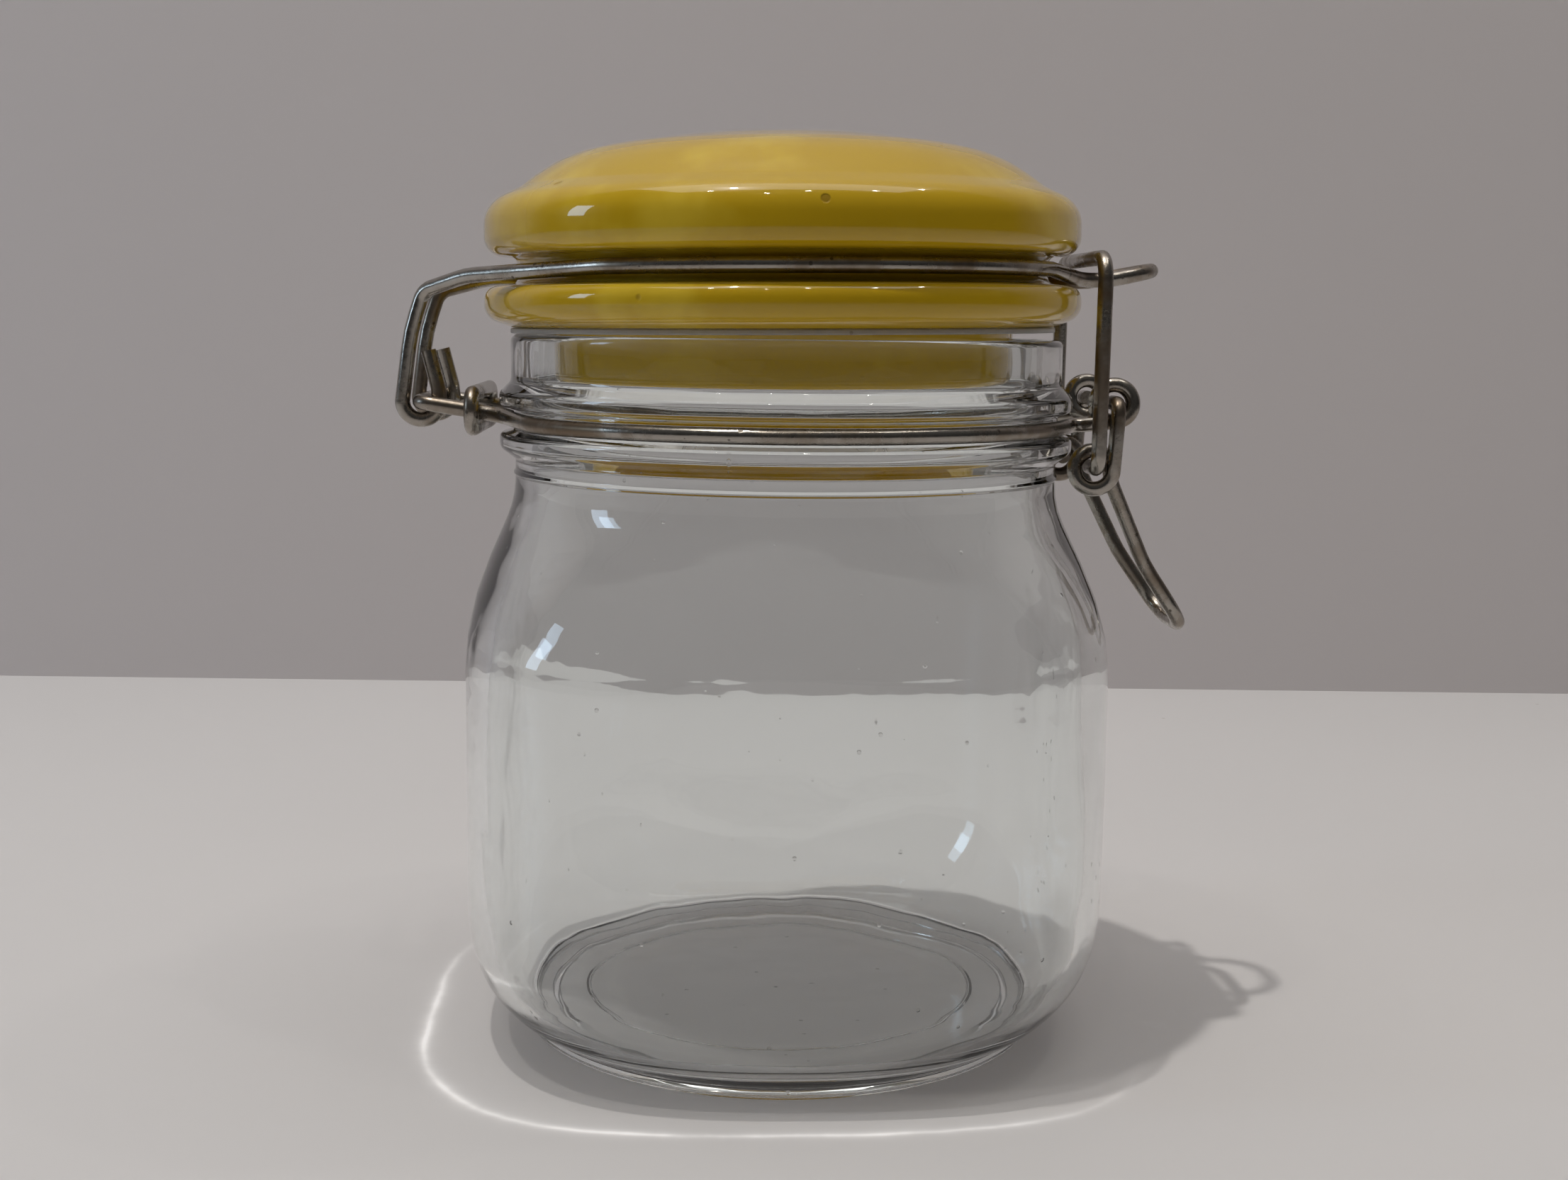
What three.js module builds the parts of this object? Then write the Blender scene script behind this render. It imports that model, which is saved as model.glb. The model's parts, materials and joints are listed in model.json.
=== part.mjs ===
// A square clamp-top storage jar: a glass body, a glazed ceramic lid on a clear gasket, and five
// bent-wire pieces that hinge the lid and clamp it down. Millimetres and degrees, +Z up. The hinge is
// on the -X side and the latch on the +X side. The shapes are drawn round the jar's axis, and the whole
// is then moved so that the origin is under the middle of its box, on the plane it stands on.

import * as THREE from "three";

// Driving dimensions: the wire and the clearances.
const wireDiameter = 2.5;
const wireSides = 8;
const wrapGap = 0.35; // between a wire and the glass, the ceramic or the wire that it goes round
const loopSlack = 0.55; // between a pin and the loop that turns on it
const coilSlack = 0.65; // between the latch link's hook and the lever's coil
const sideGap = 0.35; // between wires that pass side by side
const clampGap = 1.1; // between the latch link's bar and the bail's nose, which carry no load here

// Driving dimensions: the jar.
const jarHeight = 118.45;
const bodyHalfWidth = 54;
const bodySquareness = 3; // exponent of the body's outline: 2 is a circle, and more is squarer
const bodyWall = 3.2;
const floorThickness = 3.8;
const footRise = 1.4; // hollow under the foot
const footInset = 8.8; // body's side in to the foot ring, which is round
const footWidth = 3.4;
const footRound = 0.7;
const heelHeight = 17; // where the rounded heel meets the upright side
const squareHeight = 28; // where the outline is as square as it gets
const neckRadius = 46.9;
const neckWall = 3.6;
const neckHeight = 27.5; // rim down to the start of the shoulder
const shoulderHeight = 18;
const rimRound = 1.2;
const neckInset = 0.65; // how far the neck's foot is narrower than its rim
const beadStand = 1.95; // how far the two neck beads stand out past the neck
const beadInner = 2.3; // groove's middle to the near edge of each bead
const beadOuter = 4.6; // groove's middle to the far edge of each bead
const beadFade = 1.9; // height over which a bead falls back to the neck
const grooveDepth = 0.5; // how far the wire's groove is let into the neck
const grooveDrop = 14.25; // rim down to the middle of the groove

// Driving dimensions: the lid and its gasket.
const lidOverhang = 3.6; // lid's largest radius past the jar's neck
const lidHeight = 32.1; // underside of the flange up to the top of the dome
const flangeHeight = 6.6;
const lidGrooveHeight = 4.9;
const lidGrooveDepth = 5.6;
const plugGap = 4.1; // between the plug and the jar's mouth, so that the lid can tilt out of it
const plugDepth = 9.9;
const plugTaper = 0.3;
const plugWall = 5.2;
const lidCrown = 9; // ceramic above the lid's hollow
const lidTilt = 0.7; // the lid rests a little higher on the latch side
const lidShift = -0.7; // and a little towards the hinge
const gasketThickness = 0.85;
const gasketLip = 0.7; // how far the gasket's edge stays inside the jar's rim
const gasketSlack = 0.4; // between the plug and the gasket's inner edge
const seatGap = 0.1;

// Driving dimensions: the wires' places.
const hingeReach = 14.1; // neck to hinge bar
const hingeRise = 3.1; // groove to hinge bar
const hingeHalfWidth = 13.2;
const hookSpread = 9.9; // half the distance between the bail's two hooks
const bailDrop = 4; // lid's groove down to the bail's rear corners
const tieReach = 5.2; // neck to tie ring
const noseReach = 11.65; // lid's edge to the tip of the bail's nose
const noseHalfWidth = 9;
const coilInset = 0.6; // how far the lever's coils reach in past the neck, under its lower bead
const pivotRise = 3.9; // groove to the lever's pivot
const pivotSpread = 12.75; // half the distance between the neck wire's two eyes
const coilBack = 3.8; // lever's pivot back to its coils
const coilDrop = 11; // lever's pivot down to its coils
const handleReach = 14.1; // lever's pivot out to the tip of its handle
const handleDrop = 38.5; // lever's pivot down to the tip of its handle
const handleHalfWidth = 8.4;
const ringBow = 0.3; // how far the bail's ring lies above the middle of the lid's groove
const noseLift = 0.5; // flange up to the underside of the bail's two front strands
const noseRise = 1.9; // front strands up to the tip of the nose
const strandLift = 1.1; // groove up to the neck wire's two strands at the tie ring

// Values that follow from the driving dimensions.
const wireRadius = wireDiameter / 2;
const degree = Math.PI / 180;
const grooveZ = jarHeight - grooveDrop;
const mouthRadius = neckRadius - neckWall;
const neckWireRadius = neckRadius - grooveDepth + wrapGap + wireRadius;
const loopRadius = wireDiameter + loopSlack;
const coilRadius = wireDiameter + coilSlack;
const hingeX = -(neckRadius + hingeReach);
const hingeZ = grooveZ + hingeRise;
const lidRadius = neckRadius + lidOverhang;
const gasketRadius = neckRadius - gasketLip;
const plugRadius = mouthRadius - plugGap;
const lidSeat = 2 * seatGap + gasketThickness + gasketRadius * Math.sin(lidTilt * degree);
const lidZ = jarHeight + lidSeat;
const lidGrooveRadius = lidRadius - lidGrooveDepth;
const bailRadius = lidGrooveRadius + wrapGap + wireRadius;
const bailZ = lidZ + flangeHeight + lidGrooveHeight / 2 + ringBow;
const pivotX = neckRadius - coilInset + wireRadius + coilRadius + coilBack;
const pivotZ = grooveZ + pivotRise;
const coilX = pivotX - coilBack;
const coilZ = pivotZ - coilDrop;
const leverSpread = pivotSpread + wireDiameter + sideGap;
const linkSpread = leverSpread + wireDiameter + sideGap;
const linkPinZ = coilZ + coilSlack / 2;
const tipX = pivotX + handleReach;
const tipZ = pivotZ - handleDrop;
const strandZ = grooveZ + strandLift;
const noseStrandZ = lidZ + flangeHeight + noseLift + wireRadius;
const axisX = (loopRadius - hingeX - tipX) / 2; // the jar's axis, seen from the middle of the whole

// Outlines and wires are lists of corners, each with the radius of its bend.
const corner = (x, y, z, bend = 0) => ({ point: new THREE.Vector3(x, y, z), bend });
const BEND_STEP = 24 * degree;
const OUTLINE_STEP = 34 * degree;

// The points along a list of corners, with an arc in place of each corner that has a bend.
function bent(corners, step = BEND_STEP) {
  const points = [];
  corners.forEach(({ point, bend }, i) => {
    const before = corners[i - 1];
    const after = corners[i + 1];
    if (!bend || !before || !after) {
      points.push(point.clone());
      return;
    }
    const inward = point.clone().sub(before.point).normalize();
    const outward = after.point.clone().sub(point).normalize();
    const turn = inward.angleTo(outward);
    if (turn < 0.5 * degree) {
      points.push(point.clone());
      return;
    }
    const side = outward.clone().addScaledVector(inward, -Math.cos(turn)).normalize();
    const start = point.clone().addScaledVector(inward, -bend * Math.tan(turn / 2));
    const count = Math.max(2, Math.ceil(turn / step));
    for (let k = 0; k <= count; k++) {
      const angle = (turn * k) / count;
      points.push(
        start
          .clone()
          .addScaledVector(inward, bend * Math.sin(angle))
          .addScaledVector(side, bend * (1 - Math.cos(angle))),
      );
    }
  });
  return points;
}

// A path straight through given points, which an extrusion follows with one step for each gap.
class WirePath extends THREE.Curve {
  constructor(points) {
    super();
    this.points = points;
    this.gaps = points.length - 1;
  }
  getPoint(t) {
    const place = t * this.gaps;
    const i = Math.min(Math.floor(place), this.gaps - 1);
    return this.points[i].clone().lerp(this.points[i + 1], place - i);
  }
  getPointAt(u) {
    return this.getPoint(u);
  }
  getTangentAt(u) {
    const i = Math.round(u * this.gaps);
    const before = this.points[Math.max(i - 1, 0)];
    const after = this.points[Math.min(i + 1, this.gaps)];
    return after.clone().sub(before).normalize();
  }
}

function wireAlong(corners) {
  const path = new WirePath(bent(corners));
  const section = new THREE.Shape();
  for (let k = 0; k < wireSides; k++) {
    const angle = (2 * Math.PI * (k + 0.5)) / wireSides;
    const spot = [wireRadius * Math.cos(angle), wireRadius * Math.sin(angle)];
    if (k) section.lineTo(...spot);
    else section.moveTo(...spot);
  }
  return new THREE.ExtrudeGeometry(section, { steps: path.gaps, extrudePath: path });
}

// The whole of a wire that is the same on both sides, from its corners on the +Y side.
function mirrored(half) {
  const other = half.map(({ point, bend }) => corner(point.x, -point.y, point.z, bend)).reverse();
  return half[0].point.y === 0 ? [...other.slice(0, -1), ...half] : [...other, ...half];
}

// Corners along a level ring round the jar. The height may change with x.
function levelRing(centreX, radius, heightAt, fromAngle, toAngle, step = 8) {
  const count = Math.ceil(Math.abs(toAngle - fromAngle) / step);
  return Array.from({ length: count + 1 }, (_, k) => {
    const angle = (fromAngle + ((toAngle - fromAngle) * k) / count) * degree;
    const x = centreX + radius * Math.cos(angle);
    return corner(x, radius * Math.sin(angle), heightAt(x));
  });
}

// Corners along an upright loop that shifts sideways as it turns.
function uprightLoop(centreX, centreZ, radius, fromAngle, turn, fromY, toY) {
  const count = Math.ceil((Math.abs(turn) * degree) / BEND_STEP);
  return Array.from({ length: count + 1 }, (_, k) => {
    const angle = (fromAngle + (turn * k) / count) * degree;
    const y = fromY + ((toY - fromY) * k) / count;
    return corner(centreX + radius * Math.cos(angle), y, centreZ + radius * Math.sin(angle));
  });
}

// A turned solid from the corners of its outline, given as radius, height and bend.
function turned(outline, segments = 44) {
  const corners = outline.map(([radius, height, bend]) => corner(radius, 0, height, bend));
  const points = bent(corners, OUTLINE_STEP);
  const profile = points.map(({ x, z }) => new THREE.Vector2(x, z));
  return new THREE.LatheGeometry(profile, segments).rotateX(Math.PI / 2);
}

// The jar: a turned outline whose body is then drawn out to a rounded square.
function jarGeometry() {
  const shoulderFoot = jarHeight - neckHeight - shoulderHeight;
  const shoulderTop = jarHeight - neckHeight;
  const bodyInside = bodyHalfWidth - bodyWall;
  const beadRadius = neckRadius + beadStand;
  const grooveRadius = neckRadius - grooveDepth;
  const grooveHalf = wireRadius + wrapGap;
  const neckFoot = neckRadius - neckInset;
  const footOutside = bodyHalfWidth - footInset;
  const footInside = footOutside - footWidth;
  const floorZ = footRise + floorThickness;
  const heelLow = 0.23 * heelHeight;
  const heelMiddle = 0.53 * heelHeight;
  const geometry = turned([
    [0, footRise],
    [footInside - footRise, footRise, footRound],
    [footInside, 0, footRound],
    [footOutside, 0, footRound],
    [footOutside, heelLow / 2],
    [bodyHalfWidth - 5, heelLow, 10],
    [bodyHalfWidth - 1.6, heelMiddle, 15],
    [bodyHalfWidth, heelHeight, 40],
    [bodyHalfWidth, shoulderFoot, 45],
    [neckFoot, shoulderTop, 18],
    [neckFoot, grooveZ - beadOuter - beadFade, 0.8],
    [beadRadius, grooveZ - beadOuter, 1.6],
    [beadRadius, grooveZ - beadInner, 0.9],
    [grooveRadius, grooveZ - grooveHalf, 0.7],
    [grooveRadius, grooveZ + grooveHalf, 0.7],
    [beadRadius, grooveZ + beadInner, 0.9],
    [beadRadius, grooveZ + beadOuter, 1.6],
    [neckRadius, grooveZ + beadOuter + beadFade, 1.5],
    [neckRadius, jarHeight, rimRound],
    [mouthRadius, jarHeight, rimRound],
    [mouthRadius, shoulderTop - 1.5, 16],
    [bodyInside, shoulderFoot - 0.7, 42],
    [bodyInside, heelHeight + 0.3, 30],
    [bodyInside - 1.4, heelMiddle + 1.2, 12],
    [bodyInside - 4, floorZ + 1.2, 8],
    [bodyInside - 6.6, floorZ, 4],
    [0, floorZ],
  ]);
  const place = geometry.getAttribute("position");
  for (let i = 0; i < place.count; i++) {
    const [x, y, z] = [place.getX(i), place.getY(i), place.getZ(i)];
    const angle = Math.atan2(y, x);
    const body = THREE.MathUtils.smoothstep(shoulderTop - z, 0, shoulderHeight + 8);
    const foot = THREE.MathUtils.smoothstep(z, footRise, squareHeight);
    const power = THREE.MathUtils.lerp(2, bodySquareness, body * foot);
    const spread = Math.abs(Math.cos(angle)) ** power + Math.abs(Math.sin(angle)) ** power;
    const stretch = spread ** (-1 / power);
    place.setXY(i, x * stretch, y * stretch);
  }
  return geometry;
}

// The lid, with the underside of its flange at z = 0: a plug with a hollow, a flange, a groove for
// the bail and a low dome.
function lidGeometry() {
  const grooveTop = flangeHeight + lidGrooveHeight;
  const hollowRadius = plugRadius - plugWall;
  const bulge = lidRadius - 0.2;
  return turned([
    [0, lidHeight - lidCrown],
    [hollowRadius, lidHeight - lidCrown - 3, 9],
    [hollowRadius + 1, -plugDepth, 1],
    [plugRadius - plugTaper, -plugDepth, 2],
    [plugRadius, 0, 0.4],
    [lidRadius - 4.6, 0, 1.5],
    [lidRadius, 1.6, 3],
    [lidRadius, flangeHeight, 2.4],
    [lidGrooveRadius, flangeHeight + 0.6, 1.2],
    [lidGrooveRadius, grooveTop, 1.2],
    [bulge, grooveTop + 0.6, 3],
    [bulge, lidHeight - 12, 5.2],
    [lidRadius - 6.1, lidHeight - 9.2, 4],
    [lidRadius - 13.1, lidHeight - 3.9, 24],
    [lidRadius - 29.5, lidHeight - 0.7, 125],
    [0, lidHeight],
  ]);
}

function gasketGeometry() {
  const top = -seatGap;
  const low = top - gasketThickness;
  const inside = plugRadius + gasketSlack;
  const round = 0.25;
  return turned([
    [inside, low],
    [gasketRadius, low, round],
    [gasketRadius, top, round],
    [inside, top],
    [inside, low],
  ]);
}

// One wire: the hinge bar, two strands, the ring round the neck and the two eyes of the lever's pivot.
function neckWireGeometry() {
  const leaveAngle = 150;
  const tangent = (neckWireRadius * Math.sin(leaveAngle * degree) - hingeHalfWidth) / Math.cos(30 * degree);
  const strandX = neckWireRadius * Math.cos(leaveAngle * degree) - tangent * Math.sin(30 * degree);
  const joinAngle = 22;
  const join = neckWireRadius * Math.sin(joinAngle * degree) - pivotSpread;
  const eyeX = neckWireRadius * Math.cos(joinAngle * degree) + join * Math.tan(joinAngle * degree);
  const eyePitch = wireDiameter + sideGap;
  return wireAlong(
    mirrored([
      corner(hingeX, 0, hingeZ),
      corner(hingeX, hingeHalfWidth, hingeZ, 2.4),
      corner(strandX, hingeHalfWidth + 0.2, strandZ, 6),
      ...levelRing(0, neckWireRadius, () => grooveZ, leaveAngle, joinAngle),
      corner(eyeX, pivotSpread, grooveZ + 0.1, 3.5),
      ...uprightLoop(pivotX, pivotZ, loopRadius, -90, 400, pivotSpread, pivotSpread - (eyePitch * 400) / 360),
    ]),
  );
}

// A butt-ended loop pressed round the neck wire's two strands.
function tieRingGeometry() {
  const x = -(neckRadius + tieReach);
  const middleZ = strandZ + 0.66; // the strands are still rising where the ring goes round them
  const half = wireDiameter + wrapGap;
  const side = hingeHalfWidth + 0.2 + half;
  const round = half - 0.05;
  return wireAlong([
    corner(x, 0.2, middleZ - half),
    corner(x, side, middleZ - half, round),
    corner(x, side, middleZ + half, round),
    corner(x, -side, middleZ + half, round),
    corner(x, -side, middleZ - half, round),
    corner(x, -0.2, middleZ - half),
  ]);
}

// One wire: the nose, the ring in the lid's groove, two arms, two legs and the hooks on the hinge bar.
function bailGeometry() {
  const heightAt = (x) => bailZ + x * Math.tan(lidTilt * degree);
  const noseX = lidRadius + noseReach;
  const strandX = lidRadius - 1.6;
  const cornerZ = bailZ - bailDrop;
  return wireAlong(
    mirrored([
      corner(noseX, 0, noseStrandZ + noseRise),
      corner(noseX, noseHalfWidth - 0.6, noseStrandZ + noseRise, 7.4),
      corner(lidRadius + 3, noseHalfWidth - 0.4, noseStrandZ + 0.1, 8),
      corner(strandX, noseHalfWidth, noseStrandZ, 5),
      ...levelRing(lidShift, bailRadius, heightAt, 24, 130),
      corner(hingeX + 8.5, hookSpread + 6.4, bailZ - 1.6, 20),
      corner(hingeX + 0.7, hookSpread + 0.2, cornerZ, 3),
      corner(hingeX - 1.5, hookSpread, hingeZ + 11.5, 30),
      ...uprightLoop(hingeX, hingeZ, loopRadius, 180, 180, hookSpread, hookSpread - 0.2),
      corner(hingeX + 2.8, hookSpread - 0.3, hingeZ + 2.2),
      corner(hingeX + 1.25, hookSpread - 0.6, hingeZ + 8.3),
    ]),
  );
}

// The latch link: a bar over the nose, two legs, and ends that hook in through the lever's coils.
function linkGeometry() {
  const barZ = noseStrandZ + wireDiameter + clampGap;
  return wireAlong(
    mirrored([
      corner(coilX + 0.2, 0, barZ),
      corner(coilX + 0.2, linkSpread, barZ, 4),
      corner(coilX, linkSpread, linkPinZ, 2.4),
      corner(coilX, pivotSpread - wireRadius, linkPinZ),
    ]),
  );
}

// The lever: pins through the neck wire's eyes, risers, one-turn coils and a U-shaped handle.
function leverGeometry() {
  const innerSpread = leverSpread - wireDiameter - 0.15;
  return wireAlong(
    mirrored([
      corner(tipX, 0, tipZ),
      corner(tipX, handleHalfWidth, tipZ, 6),
      corner(pivotX + 0.45 * handleReach, handleHalfWidth + 1.6, pivotZ - 0.71 * handleDrop, 25),
      corner(coilX + coilRadius + 0.2, innerSpread, coilZ - 2, 8),
      ...uprightLoop(coilX, coilZ, coilRadius, 0, 360, innerSpread, leverSpread),
      corner(pivotX, leverSpread, pivotZ, 2.2),
      corner(pivotX, pivotSpread - wireDiameter, pivotZ),
    ]),
  );
}

const glass = { color: 0xdfe8e4, roughness: 0.06, metalness: 0 };
const ceramic = { color: 0xc9a227, roughness: 0.16, metalness: 0 };
const steel = { color: 0x8d8678, roughness: 0.38, metalness: 0.9 };
const silicone = { color: 0xe6e4dc, roughness: 0.35, metalness: 0 };

function piece(name, geometry, finish) {
  const mesh = new THREE.Mesh(geometry, new THREE.MeshStandardMaterial(finish));
  mesh.name = name;
  return mesh;
}

const lid = new THREE.Group();
lid.position.set(lidShift, 0, lidZ);
lid.rotation.y = -lidTilt * degree;
lid.add(piece("ceramic_lid", lidGeometry(), ceramic));
lid.add(piece("lid_gasket", gasketGeometry(), silicone));

const canister = new THREE.Group();
canister.position.x = axisX;
canister.add(
  piece("glass_jar", jarGeometry(), glass),
  piece("neck_wire", neckWireGeometry(), steel),
  piece("tie_ring", tieRingGeometry(), steel),
  piece("bail_wire", bailGeometry(), steel),
  lid,
  piece("latch_link", linkGeometry(), steel),
  piece("lever", leverGeometry(), steel),
);

export default canister;
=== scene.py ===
"""A square clamp-top storage jar in glass, glazed ceramic, steel wire and silicone, on a pale table.

Run as a script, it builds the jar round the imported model. The panel in the 3D view's sidebar lists
its sizes and colours, with one button for each piece or group of like pieces."""

import json
import math

import bmesh
import bpy
from bpy.props import FloatProperty, FloatVectorProperty, IntProperty, PointerProperty
from mathutils import Matrix, Vector, noise


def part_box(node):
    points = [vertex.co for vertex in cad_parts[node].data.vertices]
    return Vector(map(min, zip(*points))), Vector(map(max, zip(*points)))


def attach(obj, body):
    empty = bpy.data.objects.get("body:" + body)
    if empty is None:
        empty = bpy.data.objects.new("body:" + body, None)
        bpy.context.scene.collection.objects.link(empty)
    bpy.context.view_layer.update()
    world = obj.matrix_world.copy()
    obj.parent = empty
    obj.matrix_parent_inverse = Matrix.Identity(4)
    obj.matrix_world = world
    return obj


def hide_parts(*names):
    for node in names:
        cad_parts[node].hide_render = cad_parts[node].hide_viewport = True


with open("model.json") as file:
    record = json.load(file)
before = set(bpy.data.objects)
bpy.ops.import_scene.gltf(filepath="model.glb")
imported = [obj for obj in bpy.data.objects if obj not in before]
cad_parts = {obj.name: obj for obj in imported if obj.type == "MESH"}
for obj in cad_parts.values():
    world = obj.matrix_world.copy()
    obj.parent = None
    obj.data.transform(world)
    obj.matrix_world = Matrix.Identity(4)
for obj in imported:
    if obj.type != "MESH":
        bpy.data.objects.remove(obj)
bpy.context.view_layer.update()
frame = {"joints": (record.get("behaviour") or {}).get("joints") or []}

bl_info = {
    "name": "Clamp-Top Jar",
    "version": (1, 0, 0),
    "blender": (4, 5, 0),
    "location": "View3D > Sidebar > Jar",
    "description": "Builds a square clamp-top storage jar and its table",
    "category": "Object",
}

MM = 0.001
JAR_LOW, JAR_HIGH = (Vector(v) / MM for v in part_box("glass_jar"))
AXIS = Vector(((JAR_LOW.x + JAR_HIGH.x) / 2, 0, 0))
JOINTS = {joint["name"]: Vector(joint["pos_m"]) / MM - AXIS for joint in frame["joints"]}
HINGE = JOINTS["lid_lift"]
PIVOT = JOINTS["lever_swing"]
LINK_PIN = JOINTS["link_swing"]

# Sizes in millimetres that the pieces share.
WIRE = 2.5
WRAP_GAP = 0.35
LOOP_SLACK = 0.55
COIL_SLACK = 0.65
SIDE_GAP = 0.35
CLAMP_GAP = 1.1
NECK_RADIUS = 46.9
NECK_WALL = 3.6
SHOULDER_HEIGHT = 18.0
NECK_HEIGHT = 27.5
GROOVE_Z = JAR_HIGH.z - 14.25
GROOVE_DEPTH = 0.5
NECK_WIRE_RADIUS = NECK_RADIUS - GROOVE_DEPTH + WRAP_GAP + WIRE / 2
LID_RADIUS = NECK_RADIUS + 3.6
FLANGE_HEIGHT = 6.6
LID_GROOVE_HEIGHT = 4.9
LID_GROOVE_DEPTH = 5.6
PLUG_RADIUS = NECK_RADIUS - NECK_WALL - 4.1
PLUG_TAPER = 0.3
PLUG_WALL = 5.2
PLUG_DEPTH = 9.9
LID_HEIGHT = 32.1
LID_TILT = math.radians(0.7)
LID_SHIFT = -0.7
GASKET_RADIUS = NECK_RADIUS - 0.7
GASKET_THICKNESS = 0.85
SEAT_GAP = 0.1
LID_Z = JAR_HIGH.z + 2 * SEAT_GAP + GASKET_THICKNESS + GASKET_RADIUS * math.sin(LID_TILT)
BAIL_Z = LID_Z + FLANGE_HEIGHT + LID_GROOVE_HEIGHT / 2 + 0.3
BAIL_RADIUS = LID_RADIUS - LID_GROOVE_DEPTH + WRAP_GAP + WIRE / 2
EYE_SPREAD = 12.75
LEVER_SPREAD = EYE_SPREAD + WIRE + SIDE_GAP
LINK_SPREAD = LEVER_SPREAD + WIRE + SIDE_GAP
HINGE_HALF = 13.2
HOOK_SPREAD = 9.9
NOSE_HALF = 9.0
NECK_STRAND_Z = GROOVE_Z + 1.1

# The moulded foot of the jar, in millimetres.
FOOT_RISE = 1.4
FOOT_INSET = 8.8
FOOT_WIDTH = 3.4
BASE_CIRCLE = 34.5

# The neck's beads, in millimetres from the middle of the groove and out from the neck.
BEAD_OUT = 1.95
BEAD_INNER = 2.3
BEAD_OUTER = 4.6
BEAD_FADE = 6.5
NECK_INSET = 0.65

# Dents of the wire, per metre.
DENT_SCALE = 420.0

# The rim of light on the table, in metres where it is a length.
RIM_HALF_X = 0.0612
RIM_HALF_Y = 0.0578
RIM_POWER = 3.2
RIM_SHARPNESS = 95
RIM_LIGHT = (0.44, 0.43, 0.42)

# The stage: places and sizes in metres, angles in radians and the lens in millimetres.
CAMERA_PLACE = (AXIS.x * MM - 0.0173, -0.3305, 0.1216)
CAMERA_LENS = 43.94
CAMERA_HEADING, CAMERA_PITCH, CAMERA_ROLL = (math.radians(a) for a in (3, 8.09, 0.665))
TABLE_HALF_WIDTH = 3
TABLE_LENGTH = 4
WALL_HEIGHT = 1.6
KEY_WAY = Vector((-0.194, -0.079, 0.978))
KEY_DISTANCE = 2.2
SMALL_LAMP_HEIGHT = 1.3
SMALL_LAMPS = ((-0.42, -0.30), (0.10, -0.42), (0.45, -0.25), (0.62, 0.10), (-0.15, -0.62))


# ---------------------------------------------------------------- outlines and routes

def corner(x, y, z, bend=0.0):
    return Vector((x, y, z)), bend


def bent(corners, step=math.radians(7)):
    """The points along a list of corners, with an arc in place of each corner that has a bend."""
    points = []
    for i, (point, bend) in enumerate(corners):
        if not bend or i in (0, len(corners) - 1):
            points.append(point.copy())
            continue
        inward = (point - corners[i - 1][0]).normalized()
        outward = (corners[i + 1][0] - point).normalized()
        turn = inward.angle(outward)
        if turn < math.radians(0.5):
            points.append(point.copy())
            continue
        side = (outward - inward * math.cos(turn)).normalized()
        start = point - inward * (bend * math.tan(turn / 2))
        count = max(2, math.ceil(turn / step))
        for k in range(count + 1):
            angle = turn * k / count
            points.append(start + inward * (bend * math.sin(angle)) + side * (bend * (1 - math.cos(angle))))
    return points


def mirrored(half):
    other = [corner(p.x, -p.y, p.z, bend) for p, bend in reversed(half)]
    return other[:-1] + half if half[0][0].y == 0 else other + half


def level_ring(centre_x, radius, height_at, from_angle, to_angle, step=2.5):
    count = math.ceil(abs(to_angle - from_angle) / step)
    ring = []
    for k in range(count + 1):
        angle = math.radians(from_angle + (to_angle - from_angle) * k / count)
        x = centre_x + radius * math.cos(angle)
        ring.append(corner(x, radius * math.sin(angle), height_at(x)))
    return ring


def upright_loop(centre_x, centre_z, radius, from_angle, turn, from_y, to_y, step=7):
    count = math.ceil(abs(turn) / step)
    loop = []
    for k in range(count + 1):
        angle = math.radians(from_angle + turn * k / count)
        y = from_y + (to_y - from_y) * k / count
        loop.append(corner(centre_x + radius * math.cos(angle), y, centre_z + radius * math.sin(angle)))
    return loop


def spaced(points, longest):
    """The same outline with no gap between points longer than longest."""
    result = [points[0]]
    for point in points[1:]:
        gap = (point - result[-1]).length
        count = max(1, math.ceil(gap / longest))
        start = result[-1]
        result += [start.lerp(point, k / count) for k in range(1, count + 1)]
    return result


# ---------------------------------------------------------------- meshes

def turned(name, outline, segments, shape=None, longest=2.2):
    """A turned solid from an outline of (radius, height, bend) corners, its points moved by shape."""
    corners = [corner(radius, 0, height, *bend) for radius, height, *bend in outline]
    profile = spaced(bent(corners, math.radians(9)), longest)
    closed = (profile[0] - profile[-1]).length < 1e-6
    if closed:
        profile.pop()
    mesh = bmesh.new()
    rings = []
    for point in profile:
        if point.x < 1e-6:
            rings.append([mesh.verts.new((0, 0, point.z))])
            continue
        ring = []
        for k in range(segments):
            angle = 2 * math.pi * k / segments
            ring.append(mesh.verts.new((point.x * math.cos(angle), point.x * math.sin(angle), point.z)))
        rings.append(ring)
    pairs = list(zip(rings, rings[1:])) + ([(rings[-1], rings[0])] if closed else [])
    for low, high in pairs:
        for k in range(segments):
            after = (k + 1) % segments
            if len(low) == 1:
                mesh.faces.new((low[0], high[after], high[k]))
            elif len(high) == 1:
                mesh.faces.new((low[k], low[after], high[0]))
            else:
                mesh.faces.new((low[k], low[after], high[after], high[k]))
    if shape:
        for vert in mesh.verts:
            vert.co = shape(vert.co)
    for vert in mesh.verts:
        vert.co = (vert.co + AXIS) * MM
    bmesh.ops.recalc_face_normals(mesh, faces=mesh.faces)
    for face in mesh.faces:
        face.smooth = True
    data = bpy.data.meshes.new(name)
    mesh.to_mesh(data)
    mesh.free()
    piece = bpy.data.objects.new(name, data)
    bpy.context.scene.collection.objects.link(piece)
    return piece


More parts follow.
